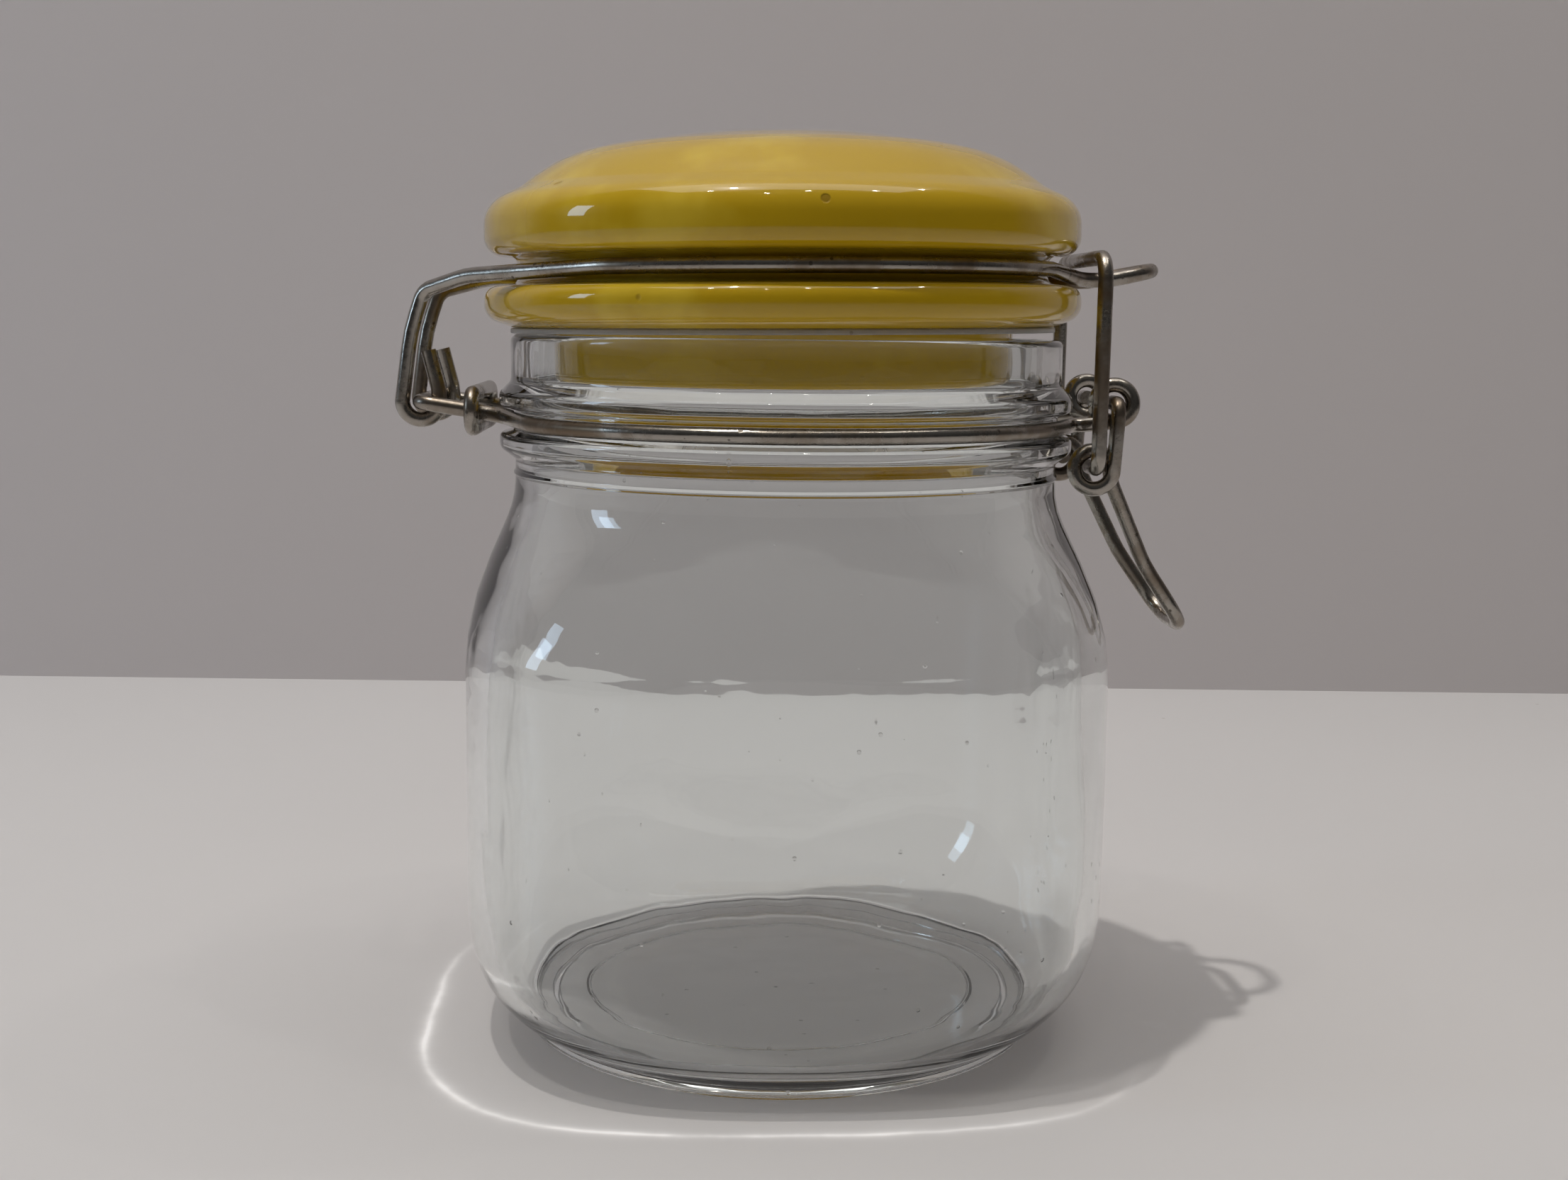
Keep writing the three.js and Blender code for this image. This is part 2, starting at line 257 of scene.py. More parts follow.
def wire_tree(material):
    """A tree that draws a round wire along a curve, with a slightly uneven surface and flat cut ends."""
    tree = bpy.data.node_groups.new("Drawn wire", "GeometryNodeTree")
    face = tree.interface
    face.new_socket("Route", in_out="INPUT", socket_type="NodeSocketGeometry")
    inputs = {"Wire radius": "Float", "Unevenness": "Float", "Sides": "Int", "Seed": "Float"}
    for label, kind in inputs.items():
        face.new_socket(label, in_out="INPUT", socket_type="NodeSocket" + kind)
    face.new_socket("Wire", in_out="OUTPUT", socket_type="NodeSocketGeometry")

    def add(kind, settings=None, **values):
        node = tree.nodes.new(kind)
        for key, value in (settings or {}).items():
            setattr(node, key, value)
        for key, value in values.items():
            socket = node.inputs[key.replace("_", " ")]
            if isinstance(value, bpy.types.NodeSocket):
                tree.links.new(value, socket)
            else:
                socket.default_value = value
        return node

    given = add("NodeGroupInput").outputs
    section = add("GeometryNodeCurvePrimitiveCircle", Resolution=given["Sides"], Radius=given["Wire radius"])
    curves = {"Curve": given["Route"], "Profile_Curve": section.outputs["Curve"]}
    wire = add("GeometryNodeCurveToMesh", Fill_Caps=True, **curves)
    dents = add("ShaderNodeTexNoise", {"noise_dimensions": "4D"}, W=given["Seed"])
    dents.inputs["Scale"].default_value = DENT_SCALE
    centred = add("ShaderNodeMath", {"operation": "SUBTRACT"})
    tree.links.new(dents.outputs[0], centred.inputs[0])
    centred.inputs[1].default_value = 0.5
    amount = add("ShaderNodeMath", {"operation": "MULTIPLY"})
    tree.links.new(centred.outputs[0], amount.inputs[0])
    tree.links.new(given["Unevenness"], amount.inputs[1])
    offset = add("ShaderNodeVectorMath", {"operation": "SCALE"}, Scale=amount.outputs[0])
    tree.links.new(add("GeometryNodeInputNormal").outputs[0], offset.inputs[0])
    uneven = add("GeometryNodeSetPosition", Geometry=wire.outputs[0], Offset=offset.outputs[0])
    smooth = add("GeometryNodeSetShadeSmooth", Geometry=uneven.outputs[0], Shade_Smooth=True)
    real = add("GeometryNodeRealizeInstances", Geometry=smooth.outputs[0])
    coloured = add("GeometryNodeSetMaterial", Geometry=real.outputs[0], Material=material)
    out = add("NodeGroupOutput")
    tree.links.new(coloured.outputs[0], out.inputs[0])
    return tree


def wire_piece(name, route, seed, sizes, material):
    """A bent wire as one plain mesh, drawn along the route by the wire tree."""
    points = bent(route)
    curve = bpy.data.curves.new(name, "CURVE")
    curve.dimensions = "3D"
    spline = curve.splines.new("POLY")
    spline.points.add(len(points) - 1)
    for spot, point in zip(spline.points, points):
        spot.co = (*((point + AXIS) * MM), 1.0)
    holder = bpy.data.objects.new(name + "_route", curve)
    bpy.context.scene.collection.objects.link(holder)
    modifier = holder.modifiers.new("Wire", "NODES")
    tree = bpy.data.node_groups.get("Drawn wire") or wire_tree(material)
    modifier.node_group = tree
    values = {"Wire radius": sizes.wire / 2, "Unevenness": sizes.unevenness, "Sides": sizes.sides}
    values["Seed"] = seed
    for socket in tree.interface.items_tree:
        if socket.in_out == "INPUT" and socket.name in values:
            modifier[socket.identifier] = values[socket.name]
    evaluated = holder.evaluated_get(bpy.context.evaluated_depsgraph_get())
    data = bpy.data.meshes.new_from_object(evaluated)
    data.name = name
    holder.modifiers.clear()
    bpy.data.objects.remove(holder)
    bpy.data.curves.remove(curve)
    mesh = bmesh.new()
    mesh.from_mesh(data)
    bmesh.ops.remove_doubles(mesh, verts=mesh.verts, dist=1e-6)
    bmesh.ops.recalc_face_normals(mesh, faces=mesh.faces)
    for face in mesh.faces:
        face.smooth = len(face.verts) == 4
    mesh.to_mesh(data)
    mesh.free()
    data.materials.clear()
    data.materials.append(material)
    piece = bpy.data.objects.new(name, data)
    bpy.context.scene.collection.objects.link(piece)
    return piece


def place(piece, body, slot, *nodes):
    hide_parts(*nodes)
    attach(piece, body)


# ---------------------------------------------------------------- finishes

class Value:
    """A shader socket that takes part in Python arithmetic through Math nodes."""

    def __init__(self, tree, socket):
        self.tree = tree
        self.socket = socket

    def math(self, operation, *operands):
        """A Math node on the operands, or on this value alone."""
        node = self.tree.nodes.new("ShaderNodeMath")
        node.operation = operation
        for i, value in enumerate(operands or (self,)):
            if isinstance(value, Value):
                self.tree.links.new(value.socket, node.inputs[i])
            else:
                node.inputs[i].default_value = value
        return Value(self.tree, node.outputs[0])

    def __add__(self, other):
        return self.math("ADD", self, other)

    __radd__ = __add__

    def __mul__(self, other):
        return self.math("MULTIPLY", self, other)

    __rmul__ = __mul__

    def __sub__(self, other):
        return self.math("SUBTRACT", self, other)

    def __rsub__(self, other):
        return self.math("SUBTRACT", other, self)

    def __truediv__(self, other):
        return self.math("DIVIDE", self, other)

    def __rtruediv__(self, other):
        return self.math("DIVIDE", other, self)

    def __pow__(self, other):
        return self.math("POWER", self, other)

    def __rpow__(self, other):
        return self.math("POWER", other, self)


class Finish:
    """A material whose nodes are made one call at a time."""

    def __init__(self, name, **constants):
        self.material = bpy.data.materials.new(name)
        self.material.use_nodes = True
        self.tree = self.material.node_tree
        self.shader = self.tree.nodes["Principled BSDF"]
        for key, value in constants.items():
            self.shader.inputs[key.replace("_", " ")].default_value = value
        self.place = self.node("ShaderNodeTexCoord", out="Object")

    def node(self, kind, settings=None, inputs=None, out=0):
        node = self.tree.nodes.new(kind)
        for key, value in (settings or {}).items():
            setattr(node, key, value)
        for key, value in (inputs or {}).items():
            if isinstance(value, Value):
                self.tree.links.new(value.socket, node.inputs[key])
            else:
                node.inputs[key].default_value = value
        return Value(self.tree, node.outputs[out])

    def noise(self, scale, detail=3.0, rough=0.55):
        inputs = {"Vector": self.place, "Scale": scale, "Detail": detail, "Roughness": rough}
        return self.node("ShaderNodeTexNoise", inputs=inputs)

    def specks(self, scale, size, share):
        """1 inside scattered round specks, of which only a share are there, and 0 outside."""
        inputs = {"Vector": self.place, "Scale": scale}
        near = self.node("ShaderNodeTexVoronoi", inputs=inputs, out="Distance")
        pick = self.node("ShaderNodeTexVoronoi", inputs=inputs, out="Color")
        chosen = self.node("ShaderNodeSeparateColor", inputs={0: pick})
        return self.step(near, size, size * 0.6) * chosen.math("LESS_THAN", chosen, share)

    def step(self, value, none_at, full_at):
        """0 at none_at, rising smoothly to 1 at full_at, which can be the lower of the two."""
        inputs = {"Value": value, "From Min": none_at, "From Max": full_at}
        return self.node("ShaderNodeMapRange", {"interpolation_type": "SMOOTHSTEP"}, inputs)

    def mix(self, factor, first, second):
        inputs = {"Factor": factor, 6: self.paint(first), 7: self.paint(second)}
        return self.node("ShaderNodeMix", {"data_type": "RGBA"}, inputs, 2)

    def paint(self, colour):
        return colour if isinstance(colour, Value) else (*tuple(colour)[:3], 1)

    def feed(self, **values):
        for key, value in values.items():
            self.tree.links.new(value.socket, self.shader.inputs[key.replace("_", " ")])

    def bump(self, height, distance, strength=1.0, after=None):
        inputs = {"Height": height, "Distance": distance, "Strength": strength}
        if after:
            inputs["Normal"] = after
        return self.node("ShaderNodeBump", inputs=inputs, out="Normal")

    def clear_where(self, share):
        """Let a share of the light straight through in place of the shader."""
        clear = self.node("ShaderNodeBsdfTransparent")
        mix = self.tree.nodes.new("ShaderNodeMixShader")
        for socket, source in zip(mix.inputs, (share.socket, self.shader.outputs[0], clear.socket)):
            self.tree.links.new(source, socket)
        self.tree.links.new(mix.outputs[0], self.tree.nodes["Material Output"].inputs["Surface"])


def clear_glass(colours):
    """Pressed glass: faint waves, smudges, dust specks and a slight green-blue tint.

    Most bounced light and part of the lamps' light go straight through it, in place of bending."""
    finish = Finish("Clear glass", Transmission_Weight=1.0, IOR=1.5, Specular_IOR_Level=0.5)
    smudge = 1 - finish.step(finish.noise(38, 5, 0.62), 0.56, 0.70)
    streaks = finish.noise(9, 3)
    dust = finish.specks(310, 0.12, 0.09) * finish.noise(1600, 2)
    wear = smudge * streaks
    tint = finish.mix(streaks, colours.glass, [c * 0.985 for c in colours.glass])
    tint = finish.mix(dust * 0.5, tint, (0.42, 0.38, 0.33))
    finish.feed(Base_Color=tint, Roughness=wear * 0.035 + dust * 0.3 + 0.004)
    waves = finish.bump(finish.noise(55, 2, 0.4), 0.00035, 0.5)
    finish.feed(Normal=finish.bump(dust, 0.0002, 0.5, waves))
    lamps = finish.node("ShaderNodeLightPath", out="Is Shadow Ray")
    bounces = finish.node("ShaderNodeLightPath", out="Is Diffuse Ray")
    finish.clear_where(bounces * 0.95 + lamps * 0.62)
    return finish.material


def yellow_glaze(colours):
    """Glossy glaze over ceramic: pooled and thin places, pinholes, brown specks, orange peel."""
    finish = Finish(
        "Yellow glaze", IOR=1.5, Coat_IOR=1.5, Coat_Roughness=0.015, Specular_IOR_Level=0.08
    )
    pools = finish.noise(34, 4)
    cloud = finish.noise(11, 2)
    pits = finish.specks(150, 0.13, 0.10)
    flecks = finish.specks(90, 0.09, 0.07)
    body = finish.mix(cloud, colours.glaze_deep, colours.glaze)
    body = finish.mix(finish.step(pools, 0.48, 0.32), body, colours.glaze_thin)
    body = finish.mix(flecks * 0.85, body, (0.10, 0.045, 0.01))
    body = finish.mix(pits * 0.55, body, (0.16, 0.085, 0.012))
    finish.feed(Base_Color=body, Roughness=cloud * 0.14 + 0.2 + pits * 0.3)
    finish.feed(Coat_Weight=1 - pits * 0.6)
    peel = finish.bump(finish.noise(260, 2), 0.00006, 0.35)
    finish.feed(Normal=finish.bump(1 - pits, 0.00025, 0.6, peel))
    return finish.material


def steel_wire(colours):
    """Drawn steel wire, dulled, with brown tarnish, dark grime specks and fine drawing marks."""
    finish = Finish("Steel wire", Metallic=1.0)
    patches = finish.noise(70, 5, 0.6)
    fine = finish.noise(900, 3, 0.6)
    broad = finish.noise(18, 2)
    tarnish = (1 - finish.step(patches, 0.62, 0.42)) * (broad * 1.2 + 0.1)
    grime = finish.specks(600, 0.24, 0.16)
    metal = finish.mix(fine, [c * 0.8 for c in colours.steel], colours.steel)
    metal = finish.mix(tarnish.math("MINIMUM", tarnish, 1.0), metal, colours.tarnish)
    metal = finish.mix(grime * 0.7, metal, (0.05, 0.04, 0.03))
    finish.feed(Base_Color=metal, Roughness=tarnish * 0.2 + fine * 0.16 + grime * 0.2 + 0.14)
    finish.feed(Normal=finish.bump(fine + grime * -0.6, 0.00006, 0.5))
    return finish.material


def clear_silicone(colours):
    """Clear silicone, cloudy in places, with a satin face."""
    finish = Finish("Clear silicone", Transmission_Weight=0.75, IOR=1.41)
    cloud = finish.noise(60, 4)
    lint = finish.specks(420, 0.16, 0.10)
    body = finish.mix(cloud, colours.silicone, [c * 0.93 for c in colours.silicone])
    finish.feed(Base_Color=finish.mix(lint * 0.6, body, (0.35, 0.3, 0.22)))
    finish.feed(Roughness=cloud * 0.2 + 0.22, Normal=finish.bump(cloud, 0.0002, 0.3))
    return finish.material


def table_top(colours):
    """Pale laminate with faint scuffs and crumbs.

    A bright rim round the closed jar's shadow stands in for the light that the glass bends outwards.
    It is strongest on the key lamp's side."""
    finish = Finish("Table top", Specular_IOR_Level=0.35, Emission_Strength=1.0)
    cloud = finish.noise(5, 3)
    scuffs = 1 - finish.step(finish.noise(22, 6, 0.7), 0.66, 0.74)
    crumbs = finish.specks(70, 0.05, 0.05)
    body = finish.mix(cloud, [c * 0.96 for c in colours.table], colours.table)
    body = finish.mix(scuffs * 0.12, body, (0.5, 0.48, 0.46))
    finish.feed(Base_Color=finish.mix(crumbs * 0.45, body, (0.3, 0.27, 0.24)))
    finish.feed(Roughness=cloud * 0.15 + 0.34, Normal=finish.bump(cloud, 0.0004, 0.15))
    across = finish.node("ShaderNodeSeparateXYZ", inputs={0: finish.place}) - AXIS.x * MM
    along = finish.node("ShaderNodeSeparateXYZ", inputs={0: finish.place}, out=1)
    square = (across.math("ABSOLUTE") / RIM_HALF_X) ** RIM_POWER
    square += (along.math("ABSOLUTE") / RIM_HALF_Y) ** RIM_POWER
    off = (square ** (1 / RIM_POWER) - 1) * RIM_SHARPNESS + (finish.noise(45, 3) - 0.5) * 3.2
    lamp_side = finish.step(across * 0.75 + along, 0.02, -0.07)
    rim = 1 / (off * off + 1) * lamp_side * (finish.noise(38, 4, 0.7) * 2.2 - 0.35)
    finish.feed(Emission_Color=finish.mix(rim, (0, 0, 0), RIM_LIGHT))
    return finish.material


def back_wall(colours):
    """Grey painted board, seen only from its front."""
    finish = Finish("Back wall", Roughness=0.7)
    cloud = finish.noise(3, 4)
    finish.feed(Base_Color=finish.mix(cloud, [c * 0.95 for c in colours.wall], colours.wall))
    behind = finish.node("ShaderNodeNewGeometry", out="Backfacing")
    finish.clear_where(behind)
    return finish.material


# ---------------------------------------------------------------- sizes and colours

def length(name, description, default):
    return FloatProperty(name=name, description=description, default=default, unit="LENGTH")


def watts(name, description, default):
    return FloatProperty(name=name, description=description, default=default, unit="POWER")


class JarSizes(bpy.types.PropertyGroup):
    half_width: length("Half width", "Centre to the middle of a side", JAR_HIGH.y * MM)
    squareness: FloatProperty(
        name="Squareness", description="2 is round, more is squarer", default=3.0, unit="NONE"
    )
    square_height: length("Square height", "Height where the outline is squarest", 28 * MM)
    wall: length("Wall", "Thickness of the body's wall", 3.2 * MM)
    floor: length("Floor", "Thickness of the floor", 3.8 * MM)
    heel: length("Heel", "Height of the rounded heel", 17 * MM)
    waves: length("Waves", "Height of the waves left by pressing", 0.12 * MM)
    segments: IntProperty(name="Segments", description="Faces round the jar", default=256, min=24)


class WireSizes(bpy.types.PropertyGroup):
    wire: length("Wire", "Diameter of the wire", WIRE * MM)
    unevenness: length("Unevenness", "Height of the dents left by bending", 0.10 * MM)
    sides: IntProperty(name="Sides", description="Faces round the wire", default=18, min=6)


def colour_property(name, description, default):
    return FloatVectorProperty(
        name=name, description=description, default=default, subtype="COLOR", size=3, min=0, max=1
    )


class JarColours(bpy.types.PropertyGroup):
    glass: colour_property("Glass", "Tint of the glass", (0.962, 0.982, 0.978))
    glaze: colour_property("Glaze", "The lid's glaze", (0.62, 0.405, 0.010))
    glaze_deep: colour_property("Deep glaze", "Glaze where it is thick", (0.52, 0.325, 0.005))
    glaze_thin: colour_property("Thin glaze", "Glaze where it is thin", (0.68, 0.47, 0.03))
    steel: colour_property("Steel", "Clean wire", (0.40, 0.37, 0.33))
    tarnish: colour_property("Tarnish", "Tarnished wire", (0.15, 0.105, 0.065))
    silicone: colour_property("Silicone", "The gasket", (0.93, 0.92, 0.90))
    table: colour_property("Table", "Top of the table", (0.655, 0.645, 0.652))
    wall: colour_property("Wall", "The wall behind", (0.66, 0.62, 0.625))


class StageSizes(bpy.types.PropertyGroup):
    wall_distance: length("Wall distance", "Jar's axis to the wall behind it", 0.299)
    key: watts("Key", "Power of the lamp that casts the shadow", 17.0)
    ceiling: watts("Ceiling", "Power of the soft light above", 8.6)
    window: watts("Window", "Power of the window's light", 1.1)
    lamps: watts("Lamps", "Power of each small lamp", 0.45)
    fill: FloatProperty(
        name="Fill", description="Strength of the room's light", default=0.11, unit="NONE"
    )


# ---------------------------------------------------------------- pieces

class JAR_OT_glass(bpy.types.Operator):
    """Make the glass jar"""

    bl_idname = "jar.glass"
    bl_label = "Glass Jar"

    def execute(self, context):
        sizes = context.scene.jar_sizes
        half_width, wall = sizes.half_width / MM, sizes.wall / MM
        heel, square_height = sizes.heel / MM, sizes.square_height / MM
        top = JAR_HIGH.z
        shoulder_top = top - NECK_HEIGHT
        shoulder_foot = shoulder_top - SHOULDER_HEIGHT
        bead = NECK_RADIUS + BEAD_OUT
        groove = NECK_RADIUS - GROOVE_DEPTH
        groove_half = WIRE / 2 + WRAP_GAP
        neck_foot = NECK_RADIUS - NECK_INSET
        mouth = NECK_RADIUS - NECK_WALL
        foot_outside = half_width - FOOT_INSET
        foot_inside = foot_outside - FOOT_WIDTH
        floor = FOOT_RISE + sizes.floor / MM
        inside = half_width - wall
        outline = [
            (0, FOOT_RISE),
            (BASE_CIRCLE - 0.3, FOOT_RISE, 0.3),
            (BASE_CIRCLE, FOOT_RISE - 0.4, 0.3),
            (BASE_CIRCLE + 0.6, FOOT_RISE, 0.3),
            (foot_inside - FOOT_RISE, FOOT_RISE, 0.7),
            (foot_inside, 0, 0.7),
            (foot_outside, 0, 0.7),
            (foot_outside, 0.115 * heel),
            (half_width - 5, 0.23 * heel, 10),
            (half_width - 1.6, 0.53 * heel, 15),
            (half_width, heel, 40),
            (half_width, shoulder_foot, 45),
            (neck_foot, shoulder_top, 18),
            (neck_foot, GROOVE_Z - 9.3, 0.3),
            (neck_foot + 0.35, GROOVE_Z - 8.9, 0.3),
            (neck_foot, GROOVE_Z - 8.3, 0.3),
            (neck_foot, GROOVE_Z - BEAD_FADE, 0.8),
            (bead, GROOVE_Z - BEAD_OUTER, 1.6),
            (bead, GROOVE_Z - BEAD_INNER, 0.9),
            (groove, GROOVE_Z - groove_half, 0.7),
            (groove, GROOVE_Z + groove_half, 0.7),
            (bead, GROOVE_Z + BEAD_INNER, 0.9),
            (bead, GROOVE_Z + BEAD_OUTER, 1.6),
            (NECK_RADIUS, GROOVE_Z + BEAD_FADE, 1.5),
            (NECK_RADIUS, top, 1.2),
            (mouth, top, 1.2),
            (mouth, shoulder_top - 1.5, 16),
            (inside - 0.5, shoulder_foot - 0.7, 42),
            (inside + 0.2, heel + 0.3, 30),
            (inside - 1.4, 0.53 * heel + 1.2, 12),
            (inside - 4, floor + 1.2, 8),
            (inside - 6.6, floor, 4),
            (0, floor),
        ]

        def squared(point):
            angle = math.atan2(point.y, point.x)
            body = smooth((shoulder_top - point.z) / (SHOULDER_HEIGHT + 8))
            foot = smooth((point.z - FOOT_RISE) / (square_height - FOOT_RISE))
            power = 2 + (sizes.squareness - 2) * body * foot
            spread = abs(math.cos(angle)) ** power + abs(math.sin(angle)) ** power
            radius = math.hypot(point.x, point.y)
            spot = point + Vector((0, 0, 6 * radius))
            wave = (noise.noise(spot * 0.055) + noise.noise(spot * 0.17) / 6) * sizes.waves / MM
            stretch = spread ** (-1 / power) * (1 + wave * body * foot / (radius + 1))
            return Vector((point.x * stretch, point.y * stretch, point.z))

        piece = turned("glass_jar_fine", outline, sizes.segments, squared)
        piece.data.materials.append(clear_glass(context.scene.jar_colours))
        place(piece, "jar", "clear_glass", "glass_jar")
        return {"FINISHED"}


def smooth(value):
    value = min(max(value, 0), 1)
    return value * value * (3 - 2 * value)


def on_the_jar(point):
    """A point of the lid's own frame, where the lid rests on the jar."""
    return Matrix.Rotation(-LID_TILT, 3, "Y") @ point + Vector((LID_SHIFT, 0, LID_Z))


class JAR_OT_lid(bpy.types.Operator):
    """Make the glazed ceramic lid"""

    bl_idname = "jar.lid"
    bl_label = "Ceramic Lid"

    def execute(self, context):
        groove_top = FLANGE_HEIGHT + LID_GROOVE_HEIGHT
        hollow = PLUG_RADIUS - PLUG_WALL
        crown = LID_HEIGHT - 9
        bulge = LID_RADIUS - 0.2
        outline = [
            (0, crown),
            (hollow, crown - 3, 9),
            (hollow + 1, -PLUG_DEPTH, 1),
            (PLUG_RADIUS - PLUG_TAPER, -PLUG_DEPTH, 2),
            (PLUG_RADIUS, 0, 0.4),
            (LID_RADIUS - 4.6, 0, 1.5),
            (LID_RADIUS, 1.6, 3),
            (LID_RADIUS, FLANGE_HEIGHT, 2.4),
            (LID_RADIUS - LID_GROOVE_DEPTH, FLANGE_HEIGHT + 0.6, 1.2),
            (LID_RADIUS - LID_GROOVE_DEPTH, groove_top, 1.2),
            (bulge, groove_top + 0.6, 3),
            (bulge, LID_HEIGHT - 12, 5.2),
            (LID_RADIUS - 6.1, LID_HEIGHT - 9.2, 4),
            (LID_RADIUS - 13.1, LID_HEIGHT - 3.9, 24),
            (LID_RADIUS - 29.5, LID_HEIGHT - 0.7, 125),
            (0, LID_HEIGHT),
        ]
        piece = turned("ceramic_lid_fine", outline, 200, on_the_jar)
        piece.data.materials.append(yellow_glaze(context.scene.jar_colours))
        place(piece, "lid", "yellow_glaze", "ceramic_lid")
        return {"FINISHED"}


class JAR_OT_gasket(bpy.types.Operator):
    """Make the clear gasket"""

    bl_idname = "jar.gasket"
    bl_label = "Clear Gasket"

    def execute(self, context):
        top = -SEAT_GAP
        low = top - GASKET_THICKNESS
        inside = PLUG_RADIUS + 0.4
        outline = [
            (inside, low),
            (GASKET_RADIUS, low, 0.25),
            (GASKET_RADIUS, top, 0.25),
            (inside, top),
            (inside, low),
        ]
        piece = turned("lid_gasket_fine", outline, 200, on_the_jar, 0.8)
        piece.data.materials.append(clear_silicone(context.scene.jar_colours))
        place(piece, "lid", "clear_silicone", "lid_gasket")
        return {"FINISHED"}


def wire_finish(context):
    return bpy.data.materials.get("Steel wire") or steel_wire(context.scene.jar_colours)


class JAR_OT_neck_wires(bpy.types.Operator):
    """Make the neck wire and the tie ring round its strands"""

    bl_idname = "jar.neck_wires"
    bl_label = "Neck Wire and Tie Ring"

    def execute(self, context):
        leave, join, eye_turn = 150, 22, 400
        leave_at = NECK_WIRE_RADIUS * Vector((math.cos(math.radians(leave)), math.sin(math.radians(leave))))
        strand_x = leave_at.x + (leave_at.y - HINGE_HALF) * leave_at.y / leave_at.x
        join_at = NECK_WIRE_RADIUS * Vector((math.cos(math.radians(join)), math.sin(math.radians(join))))
        eye_x = join_at.x + (join_at.y - EYE_SPREAD) * join_at.y / join_at.x
        eye_end = EYE_SPREAD - (WIRE + SIDE_GAP) * eye_turn / 360
        route = mirrored([
            corner(HINGE.x, 0, HINGE.z),
            corner(HINGE.x, HINGE_HALF, HINGE.z, 2.4),
            corner(strand_x, HINGE_HALF + 0.2, NECK_STRAND_Z, 6),
            *level_ring(0, NECK_WIRE_RADIUS, lambda x: GROOVE_Z, leave, join),
            corner(eye_x, EYE_SPREAD, GROOVE_Z + 0.1, 3.5),
            *upright_loop(PIVOT.x, PIVOT.z, WIRE + LOOP_SLACK, -90, eye_turn, EYE_SPREAD, eye_end),
        ])
        sizes = context.scene.wire_sizes
        piece = wire_piece("neck_wire_fine", route, 1.0, sizes, wire_finish(context))
        place(piece, "jar", "steel_wire", "neck_wire")

        tie_x = -(NECK_RADIUS + 5.2)
        tie_z = NECK_STRAND_Z + 0.66
        half = WIRE + WRAP_GAP
        side = HINGE_HALF + 0.2 + half
        bend = half - 0.05
        loop = [
            corner(tie_x, 0.2, tie_z - half),
            corner(tie_x, side, tie_z - half, bend),
            corner(tie_x, side, tie_z + half, bend),
            corner(tie_x, -side, tie_z + half, bend),
            corner(tie_x, -side, tie_z - half, bend),
            corner(tie_x, -0.2, tie_z - half),
        ]
        piece = wire_piece("tie_ring_fine", loop, 2.0, sizes, wire_finish(context))
        place(piece, "jar", "steel_wire", "tie_ring")
        return {"FINISHED"}


class JAR_OT_bail(bpy.types.Operator):
    """Make the bail that carries the lid"""

    bl_idname = "jar.bail"
    bl_label = "Bail Wire"

    def execute(self, context):
        nose_x = LID_RADIUS + 11.65
        strand_x = LID_RADIUS - 1.6
        strand_z = BAIL_Z - 1
        hook = WIRE + LOOP_SLACK
        route = mirrored([
            corner(nose_x, 0, strand_z + 1.9),
            corner(nose_x, NOSE_HALF - 0.6, strand_z + 1.9, 7.4),
            corner(LID_RADIUS + 3, NOSE_HALF - 0.4, strand_z + 0.1, 8),
            corner(strand_x, NOSE_HALF, strand_z, 5),
            *level_ring(LID_SHIFT, BAIL_RADIUS, lambda x: BAIL_Z + x * math.tan(LID_TILT), 24, 130),
            corner(HINGE.x + 8.5, HOOK_SPREAD + 6.4, BAIL_Z - 1.6, 20),
            corner(HINGE.x + 0.7, HOOK_SPREAD + 0.2, BAIL_Z - 4, 3),
            corner(HINGE.x - 1.5, HOOK_SPREAD, HINGE.z + 11.5, 30),
            *upright_loop(HINGE.x, HINGE.z, hook, 180, 180, HOOK_SPREAD, HOOK_SPREAD - 0.2),
            corner(HINGE.x + 2.8, HOOK_SPREAD - 0.3, HINGE.z + 2.2),
            corner(HINGE.x + 1.25, HOOK_SPREAD - 0.6, HINGE.z + 8.3),
        ])
        piece = wire_piece("bail_wire_fine", route, 3.0, context.scene.wire_sizes, wire_finish(context))
        place(piece, "bail", "steel_wire", "bail_wire")
        return {"FINISHED"}


